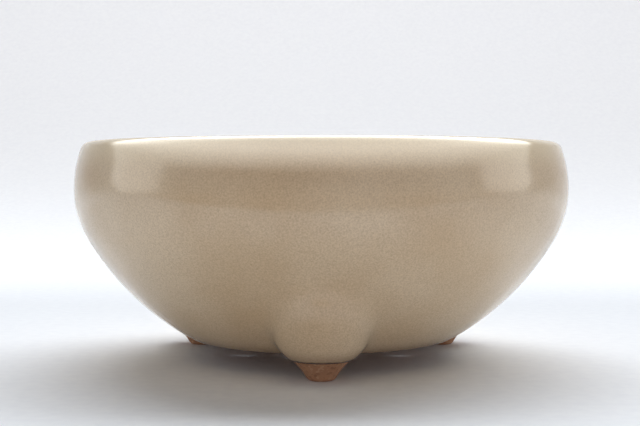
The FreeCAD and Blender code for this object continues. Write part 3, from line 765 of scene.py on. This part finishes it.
# %% Foot shape
def foot_rings(around=96):
    turns = np.arange(around) * math.tau / around
    heights = [0.0, 0.0] + [tip_edge * (1 - math.cos(math.radians(15 * step))) for step in range(1, 7)]
    heights += list(np.linspace(1.1 * MM, wax_z + 0.05 * MM, 20))
    rings = [(foot_reach, 0.0, float(rest_radius * 0.5))]
    for height in heights[1:]:
        plain = float(tip_radius(np.array(max(height, 1e-6))))
        lean = max(height - neck_z, 0) * bulb_slant
        radii = np.full(around, plain * 0.6)
        for _ in range(60):
            outward = foot_reach + lean + radii * np.cos(turns)
            spots = np.stack([radii * np.sin(turns), -outward, np.full(around, height)], axis=1)
            radii = np.minimum(radii + np.maximum(-joined_distance(spots), 0.0) * 0.8, plain + 7 * MM)
        rings.append((foot_reach + lean, height, radii if height > 2.5 * MM else float(plain)))
    for latitude in range(-48, 84, 6):
        height = bulb_z + bulb_rise * math.sin(math.radians(latitude))
        middle = foot_reach + (height - neck_z) * bulb_slant
        rings.append((middle, height, (bulb_radius - 0.3 * MM) * math.cos(math.radians(latitude))))
    return rings


def lay_on_wall(mesh, depth=0.3 * MM):
    """Draws the hidden back of a foot out of the bowl, so that it lies against the wall."""
    spots = vertex_spots(mesh)
    for _ in range(4):
        too_deep = np.minimum(bowl_distance(spots) + depth, 0.0)
        spots -= too_deep[:, None] * slope(bowl_distance, spots)
    mesh.vertices.foreach_set("co", spots.ravel())


feet = {}
for name, degrees in foot_turns.items():
    mesh = ring_stack(name, foot_rings(), 96, clay)
    lay_on_wall(mesh)
    mesh.transform(Matrix.Rotation(math.radians(degrees), 4, "Z"))
    feet[name] = new_object("bulb_" + name, mesh)
print("feet:", {name: len(foot.data.polygons) for name, foot in feet.items()})


# %% [markdown]
# ## The drain screen
#
# Drain mesh is moulded in one piece: strands that cross, with rounded square openings between
# them and a wider strand round the edge. The tree lays a grid whose lines bunch across each
# strand, removes the faces in the openings, lifts every line to the strand's rounded section,
# and mirrors the sheet so that the two halves meet at the strands' edges.

# %% Screen tree
screen_width = screen_high.x - screen_low.x
screen_thick = screen_high.z - screen_low.z
screen_openings = 7
screen_pitch = 3.0 * MM
screen_opening = 2.0 * MM
lines_across = 9


def choose_float(tree, share, plain, special):
    """The plain value where share is 0 and the special one where it is 1."""
    return add(tree, "ShaderNodeMix", {0: share, 2: plain, 3: special}, data_type="FLOAT").outputs[0]


def screen_tree():
    tree, size = new_tree("moulded_mesh", {
        "Openings": "Int", "Pitch": "Float", "Opening": "Float", "Width": "Float",
        "Thickness": "Float", "Lines Across": "Int", "Middle Height": "Float", "Material": "Material",
    })
    across = size["Lines Across"]
    lines = calc(tree, "MULTIPLY", calc(tree, "ADD", size["Openings"], 1.0), across)
    grid = add(tree, "GeometryNodeMeshGrid", {
        "Size X": 1.0, "Size Y": 1.0, "Vertices X": lines, "Vertices Y": lines,
    })
    uv = add(tree, "ShaderNodeSeparateXYZ", {0: grid.outputs["UV Map"]})
    steps = calc(tree, "SUBTRACT", lines, 1.0)
    last = calc(tree, "SUBTRACT", across, 1.0)
    span = calc(tree, "MULTIPLY", calc(tree, "SUBTRACT", size["Openings"], 1.0), size["Pitch"])
    inner = calc(tree, "MULTIPLY", calc(tree, "ADD", span, size["Opening"]), 0.5)
    border = calc(tree, "SUBTRACT", calc(tree, "MULTIPLY", size["Width"], 0.5), inner)
    results = []
    for axis in ("X", "Y"):
        line = calc(tree, "MULTIPLY", uv.outputs[axis], steps)
        nearest = calc(tree, "ROUND", line)
        strand = calc(tree, "FLOOR", calc(tree, "DIVIDE", calc(tree, "ADD", nearest, 0.5), across))
        within = calc(tree, "SUBTRACT", nearest, calc(tree, "MULTIPLY", strand, across))
        swing = calc(tree, "COSINE", calc(tree, "MULTIPLY", calc(tree, "DIVIDE", within, last), math.pi))
        offset = calc(tree, "SUBTRACT", strand, calc(tree, "MULTIPLY", size["Openings"], 0.5))
        side = calc(tree, "SIGN", offset)
        half_count = calc(tree, "MULTIPLY", size["Openings"], 0.5)
        outermost = calc(tree, "COMPARE", calc(tree, "ABSOLUTE", offset), half_count, 0.25)
        plain_middle = calc(tree, "MULTIPLY", offset, size["Pitch"])
        plain_half = calc(tree, "MULTIPLY", calc(tree, "SUBTRACT", size["Pitch"], size["Opening"]), 0.5)
        edge_half = calc(tree, "MULTIPLY", border, 0.5)
        edge_middle = calc(tree, "MULTIPLY", side, calc(tree, "ADD", inner, edge_half))
        middle = choose_float(tree, outermost, plain_middle, edge_middle)
        half = choose_float(tree, outermost, plain_half, edge_half)
        place = calc(tree, "SUBTRACT", middle, calc(tree, "MULTIPLY", half, swing))
        fourth = calc(tree, "POWER", calc(tree, "ABSOLUTE", swing), 4.0)
        lift = calc(tree, "POWER", calc(tree, "MAXIMUM", calc(tree, "SUBTRACT", 1.0, fourth), 0.0), 0.25)
        outer_half = calc(tree, "GREATER_THAN", calc(tree, "MULTIPLY", side, swing), -0.01)
        beyond = calc(tree, "MULTIPLY", outermost, calc(tree, "SUBTRACT", 1.0, outer_half))
        cap = choose_float(tree, beyond, 1.0, lift)
        floor_line = calc(tree, "FLOOR", line)
        gap = calc(tree, "COMPARE", calc(tree, "MODULO", floor_line, across), last, 0.25)
        results.append((place, lift, cap, gap))
    (x, x_lift, x_cap, x_gap), (y, y_lift, y_cap, y_gap) = results
    hole = add(tree, "FunctionNodeBooleanMath", {0: x_gap, 1: y_gap}, operation="AND").outputs[0]
    lift = calc(tree, "MINIMUM", calc(tree, "MAXIMUM", x_lift, y_lift), calc(tree, "MINIMUM", x_cap, y_cap))
    height = calc(tree, "MULTIPLY", lift, calc(tree, "MULTIPLY", size["Thickness"], 0.5))
    spot = add(tree, "ShaderNodeCombineXYZ", {0: x, 1: y, 2: height}).outputs[0]
    stored = add(tree, "GeometryNodeStoreNamedAttribute", {
        "Geometry": grid.outputs["Mesh"], "Name": "hole", "Value": hole,
    }, data_type="BOOLEAN", domain="FACE")
    lifted = add(tree, "GeometryNodeSetPosition", {"Geometry": stored.outputs[0], "Position": spot})
    named = add(tree, "GeometryNodeInputNamedAttribute", {"Name": "hole"}, data_type="BOOLEAN").outputs[0]
    top = add(tree, "GeometryNodeDeleteGeometry", {
        "Geometry": lifted.outputs[0], "Selection": named,
    }, domain="FACE", mode="ALL").outputs[0]
    turned = add(tree, "GeometryNodeFlipFaces", {"Mesh": top}).outputs[0]
    bottom = add(tree, "GeometryNodeTransform", {"Geometry": turned, "Scale": (1, 1, -1)}).outputs[0]
    both = add(tree, "GeometryNodeJoinGeometry")
    tree.links.new(top, both.inputs[0])
    tree.links.new(bottom, both.inputs[0])
    closed = add(tree, "GeometryNodeMergeByDistance", {"Geometry": both.outputs[0], "Distance": 0.004 * MM})
    lift_all = add(tree, "ShaderNodeCombineXYZ", {2: size["Middle Height"]}).outputs[0]
    laid = add(tree, "GeometryNodeTransform", {"Geometry": closed.outputs[0], "Translation": lift_all})
    smooth = add(tree, "GeometryNodeSetShadeSmooth", {"Geometry": laid.outputs[0]})
    end_tree(tree, smooth.outputs[0], size["Material"])
    return tree


screen = grow_mesh("moulded_drain_mesh", screen_tree(), {
    "Openings": screen_openings, "Pitch": screen_pitch, "Opening": screen_opening, "Width": screen_width,
    "Thickness": screen_thick, "Lines Across": lines_across,
    "Middle Height": (screen_low.z + screen_high.z) / 2, "Material": plastic,
})
print("screen:", len(screen.data.polygons), "faces,", [round(side / MM, 2) for side in screen.dimensions])


# %% [markdown]
# ## The clip
#
# The clip is one length of soft wire bent with pliers: over the screen, down through the drain
# hole and out under the base. The tree rounds the corners of its path and draws the round wire
# along it.

# %% Clip tree
wire_radius = 0.5 * MM
wire_bend = 1.2 * MM
clip_leg = 6.0 * MM
clip_top = clip_high.z - wire_radius
clip_bottom = clip_low.z + wire_radius


def clip_tree():
    tree, size = new_tree("bent_wire", {
        "Path": "Object", "Bend Radius": "Float", "Wire Radius": "Float", "Material": "Material",
    })
    path = add(tree, "GeometryNodeObjectInfo", {"Object": size["Path"]}).outputs["Geometry"]
    rounded = add(tree, "GeometryNodeFilletCurve", {
        "Curve": path, "Radius": size["Bend Radius"], "Limit Radius": True, "Count": 10,
    }, mode="POLY").outputs[0]
    section = add(tree, "GeometryNodeCurvePrimitiveCircle", {
        "Resolution": 20, "Radius": size["Wire Radius"],
    }, mode="RADIUS").outputs[0]
    drawn = add(tree, "GeometryNodeCurveToMesh", {
        "Curve": rounded, "Profile Curve": section, "Fill Caps": True,
    }).outputs[0]
    smooth = add(tree, "GeometryNodeSetShadeSmooth", {"Geometry": drawn}).outputs[0]
    end_tree(tree, smooth, size["Material"])
    return tree


clip_path = path_curve("clip_path", [
    (clip_low.x, 0, clip_bottom), (-clip_leg, 0, clip_bottom), (-clip_leg, 0, clip_top),
    (clip_leg, 0, clip_top), (clip_leg, 0, clip_bottom), (clip_high.x, 0, clip_bottom),
])
clip = grow_mesh("bent_wire_clip", clip_tree(), {
    "Path": clip_path, "Bend Radius": wire_bend, "Wire Radius": wire_radius, "Material": wire,
})
bpy.data.objects.remove(clip_path)
print("clip:", len(clip.data.polygons), "faces,", [round(side / MM, 2) for side in clip.dimensions])


# %% [markdown]
# ## Clean meshes
#
# A piece should be a closed skin with its faces outwards, so that a printer or a light ray can
# tell inside from outside. The count of open edges shows a gap. It doesn't show a small scrap that
# is closed by itself.

# %% Close and face outwards
def check_closed(piece):
    built = bmesh.new()
    built.from_mesh(piece.data)
    bmesh.ops.remove_doubles(built, verts=built.verts[:], dist=0.002 * MM)
    bmesh.ops.recalc_face_normals(built, faces=built.faces[:])
    if built.calc_volume(signed=True) < 0:
        bmesh.ops.reverse_faces(built, faces=built.faces[:])
    open_edges = sum(1 for edge in built.edges if len(edge.link_faces) != 2)
    built.to_mesh(piece.data)
    built.free()
    return open_edges


pieces = {
    "glaze_coat": (coat, "glaze"), "bowl": (bowl, "stoneware"), "drain_screen": (screen, "screen_plastic"),
    "screen_clip": (clip, "clip_wire"),
}
pieces.update({name: (foot, "stoneware") for name, foot in feet.items()})
for node, (piece, finish) in pieces.items():
    open_edges = check_closed(piece)
    triangles = sum(len(face.vertices) - 2 for face in piece.data.polygons)
    print(piece.name, "open edges:", open_edges, "triangles:", triangles)
    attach(piece, "root")
    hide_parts(node)

# %% [markdown]
# ## The studio table
#
# The pot stands on a sheet of white paper that sweeps up behind it. The main light is one long,
# soft band high up behind the pot, so its shadow falls forward. A second light brightens the
# sheet behind. A dark card lies on the floor in front, where only the pot and the paper meet it:
# it is painted shade that stands in for the dim room in front, and the glaze mirrors it as a
# dark reflection.
#
# This is not one true room. The sky that the glaze mirrors has a bright ceiling and pale side
# walls that light nothing else, and it hides most of the glow low in front.

# %% Stage
def paper_material():
    material, tree, shader, place = new_material("white_paper_sweep")
    tone = spread(tree, noise(tree, place, 300.0), 0.3, 0.7)
    tree.links.new(blend(tree, tone, colour("#E7EAEE"), colour("#EBEEF1")), shader.inputs["Base Color"])
    shader.inputs["Roughness"].default_value = 0.9
    shader.inputs["Specular IOR Level"].default_value = 0.0
    return material


def paper_sweep(name, material, half_width=3.0, front=-3.0, back=0.9, bend=0.5, top=0.8):
    """A sheet that lies flat, bends up behind and rises."""
    line = [(front, 0.0), (back - bend, 0.0)]
    for step in range(1, 25):
        turn = math.radians(90 * step / 24)
        line.append((back - bend + bend * math.sin(turn), bend - bend * math.cos(turn)))
    line.append((back, top))
    mesh = bpy.data.meshes.new(name)
    spots = [(side, y, z) for y, z in line for side in (-half_width, half_width)]
    faces = [(2 * i, 2 * i + 1, 2 * i + 3, 2 * i + 2) for i in range(len(line) - 1)]
    mesh.from_pydata(spots, [], faces)
    mesh.materials.append(material)
    for face in mesh.polygons:
        face.use_smooth = True
    return new_object(name, mesh)


sweep_sheet = paper_sweep("paper_sweep", paper_material())


def dark_card(name, spot, width, depth, shade):
    """A dark card, painted shade for the dim room in front, that casts no shadow. The pot sees it and mirrors
    it as a dark shape, and the camera doesn't.
    """
    mesh = bpy.data.meshes.new(name)
    x, y, z = spot
    left, right = x - width / 2, x + width / 2
    corners = [(left, y - depth, z), (right, y - depth, z), (right, y, z), (left, y, z)]
    mesh.from_pydata(corners, [], [(0, 1, 2, 3)])
    material, tree, shader, place = new_material(name)
    tone = spread(tree, noise(tree, place, 40.0), 0.3, 0.7)
    tree.links.new(blend(tree, tone, colour(shade), colour("#5A4A3C")), shader.inputs["Base Color"])
    shader.inputs["Roughness"].default_value = 0.9
    mesh.materials.append(material)
    made = new_object(name, mesh)
    made.visible_camera = False
    made.visible_shadow = False


# Painted shade: a dark sheet in front that the glaze mirrors and that keeps bounce light off the pot's front.
dark_card("dark_card", (0, -0.171, 0.0008), 2.4, 1.6, "#54463A")


def soft_box(name, spot, aim, width, height, radiance):
    """A rectangular soft light with a given brightness of its face."""
    light = bpy.data.lights.new(name, "AREA")
    light.shape = "RECTANGLE"
    light.size = width
    light.size_y = height
    light.energy = radiance * math.pi * width * height
    made = new_object(name, light)
    made.location = spot
    made.rotation_euler = (Vector(aim) - Vector(spot)).to_track_quat("-Z", "Y").to_euler()
    made.visible_camera = False


soft_box("backdrop_light", (0.0, 0.25, 0.4), (0, 0.85, 0.2), 1.6, 0.25, 3.2)

world = bpy.data.worlds.new("studio")
scene.world = world
world.use_nodes = True
sky = world.node_tree
for old in list(sky.nodes):
    sky.nodes.remove(old)
sight = add(sky, "ShaderNodeTexCoord").outputs["Generated"]
axis = add(sky, "ShaderNodeSeparateXYZ", {0: sight})
climb = calc(sky, "ARCTAN2", axis.outputs["Z"], axis.outputs["Y"])


def band(value, low, high, soft):
    """One between two values and zero beyond, with soft edges."""
    rising = spread(sky, value, low - soft, low + soft, 0.0, 1.0, "SMOOTHSTEP")
    falling = spread(sky, value, high - soft, high + soft, 1.0, 0.0, "SMOOTHSTEP")
    return calc(sky, "MULTIPLY", rising, falling)


def sky_light(share, strength, tint):
    """A part of the sky with its strength and colour."""
    glow = calc(sky, "MULTIPLY", share, strength)
    return add(sky, "ShaderNodeBackground", {"Color": colour(tint), "Strength": glow}).outputs[0]


def degrees_band(low, high, soft):
    return band(climb, math.radians(low), math.radians(high), math.radians(soft))


def times(first, second):
    return calc(sky, "MULTIPLY", first, second)


main_strength = 6.4
overhead_strength = 0.16
front_strength = 1.6
side_strength = 0.42
front_hidden = 0.92
ceiling_strength = 7.0
side_wall_strength = 2.0

middle = band(axis.outputs["X"], -0.42, 0.68, 0.1)
to_the_sides = calc(sky, "SUBTRACT", 1.0, middle)
above = spread(sky, axis.outputs["Z"], -0.1, 0.1)
glossy = add(sky, "ShaderNodeLightPath").outputs["Is Glossy Ray"]
unmirrored = calc(sky, "SUBTRACT", 1.0, times(glossy, front_hidden))
low_front = times(times(degrees_band(160, 200, 6), middle), unmirrored)
lights = [
    sky_light(times(degrees_band(43, 72, 6), middle), main_strength, "#F8FBFF"),
    sky_light(times(degrees_band(78, 140, 8), middle), overhead_strength, "#FFFAF4"),
    sky_light(low_front, front_strength, "#F6E6E4"),
    sky_light(times(to_the_sides, above), side_strength, "#F6F7F8"),
]

# The ceiling and side walls below reach mirrored rays only.
ceiling = spread(sky, axis.outputs["Z"], 0.26, 0.56, 0.0, ceiling_strength)
beside = spread(sky, axis.outputs["Y"], -0.3, -0.2)
side_wall = times(beside, spread(sky, axis.outputs["Z"], -0.13, -0.08))
mirrored = calc(sky, "MAXIMUM", ceiling, times(side_wall, side_wall_strength))
lights.append(sky_light(times(mirrored, glossy), 1.0, "#FFFCF4"))
room = lights[0]
for light in lights[1:]:
    room = add(sky, "ShaderNodeAddShader", {0: room, 1: light}).outputs[0]
wall_light = add(sky, "ShaderNodeBackground", {"Color": colour("#F4F6FC"), "Strength": 1.0})
seen = add(sky, "ShaderNodeLightPath").outputs["Is Camera Ray"]
both = add(sky, "ShaderNodeMixShader", {0: seen, 1: room, 2: wall_light.outputs[0]})
add(sky, "ShaderNodeOutputWorld", {0: both.outputs[0]})

# %% Camera
camera_data = bpy.data.cameras.new("camera")
camera = new_object("camera", camera_data)
scene.camera = camera
camera_data.sensor_width = 36.0
camera_data.lens = 64.7
camera_data.clip_start = 0.01
camera_data.clip_end = 50
camera.location = (0.0, -0.3086, 0.0477)
camera.rotation_euler = (math.radians(90 - 1.8), 0, math.radians(0.065))
scene.view_settings.view_transform = "Standard"
